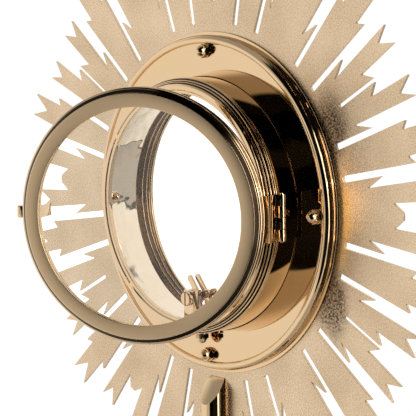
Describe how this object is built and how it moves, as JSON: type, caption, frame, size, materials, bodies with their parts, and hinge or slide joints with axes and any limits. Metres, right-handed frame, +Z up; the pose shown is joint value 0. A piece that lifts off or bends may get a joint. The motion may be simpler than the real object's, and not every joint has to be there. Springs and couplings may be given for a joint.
{
  "type": "monstrance",
  "caption": "Standing sunburst monstrance: flat ray plate with a round glazed case, a hinged rear door that swings open, a host clip inside, a rod stem with a knop and a round foot.",
  "frame": {"origin": "centre of the foot's felt underside, on the surface the monstrance stands on, on the axis of the rod and stem", "axes": "+Z up; -Y is the front, where people look at the host; +Y is the back with the door; the hinge is at -X"},
  "size_m": [0.3996, 0.2139, 0.7137],
  "materials": {
    "polished_gold": "mirror-polished gold plate",
    "satin_gold": "fine-grained satin gold plate with bright cut edges",
    "raw_brass": "turned brass",
    "steel": "turned steel",
    "cast_iron": "rough casting",
    "clear_glass": "clear polished",
    "felt": "matt felt"
  },
  "bodies": {
    "stand": {"felt_pad": "felt", "base_plate": "raw_brass", "foot_weight": "cast_iron", "foot_shell": "polished_gold", "foot_spacer": "raw_brass", "tie_rod": "steel", "tie_rod_nut": "steel", "stem_lower": "polished_gold", "knop_lower_collar": "polished_gold", "knop": "polished_gold", "knop_upper_collar": "polished_gold", "stem_socket": "polished_gold", "socket_screw": "steel", "stem_rod": "polished_gold", "ray_plate": "satin_gold", "plate_screw_upper": "steel", "plate_screw_lower": "steel", "front_bezel": "polished_gold", "front_glass": "clear_glass", "front_glass_ring": "polished_gold", "rear_flange": "polished_gold", "case_drum": "polished_gold", "case_liner": "polished_gold", "mouth_ring": "polished_gold", "stud_top": "steel", "stud_hinge_side": "steel", "stud_bottom": "steel", "stud_catch_side": "steel", "washer_top": "polished_gold", "washer_hinge_side": "polished_gold", "washer_bottom": "polished_gold", "washer_catch_side": "polished_gold", "cap_nut_top": "polished_gold", "cap_nut_hinge_side": "polished_gold", "cap_nut_bottom": "polished_gold", "cap_nut_catch_side": "polished_gold", "cap_nut_clip": "polished_gold", "clip_saddle": "polished_gold", "clip_bolt": "steel", "clip_bracket": "polished_gold", "clip_fixed_jaw": "polished_gold", "hinge_leaf_case": "polished_gold", "hinge_pin": "polished_gold", "catch_body": "polished_gold", "catch_spring": "steel"},
    "door": {"door_ring": "polished_gold", "door_glass": "clear_glass", "door_glass_ring": "polished_gold", "door_tab": "polished_gold", "door_tongue": "polished_gold", "hinge_leaf_door": "polished_gold"},
    "clip_jaw": {"clip_moving_jaw": "polished_gold"},
    "clamp_screw": {"clamp_screw": "polished_gold"},
    "catch_plunger": {"catch_plunger": "polished_gold"}
  },
  "joints": [
    {"name": "door_swing", "type": "hinge", "parent": "stand", "child": "door", "pos_m": [-0.0874, 0.0201, 0.515], "axis": [0, 0, 1], "range_deg": [-26.9, 83]},
    {"name": "jaw_slide", "type": "slide", "parent": "stand", "child": "clip_jaw", "axis": [0, -1, 0], "range_m": [-0.0014, 0.00449]},
    {"name": "clamp_turn", "type": "hinge", "parent": "stand", "child": "clamp_screw", "pos_m": [0, 0.0201, 0.4544], "axis": [0, -1, 0], "range_deg": [-2315, 725]},
    {"name": "catch_push", "type": "slide", "parent": "stand", "child": "catch_plunger", "axis": [1, 0, 0], "range_m": [0, 0.0006], "stiffness_N_per_m": 300, "springref_m": -0.0006}
  ],
  "couplings": [
    {"joint": "clamp_turn", "follows": "jaw_slide", "rad_per_m": -8976}
  ]
}
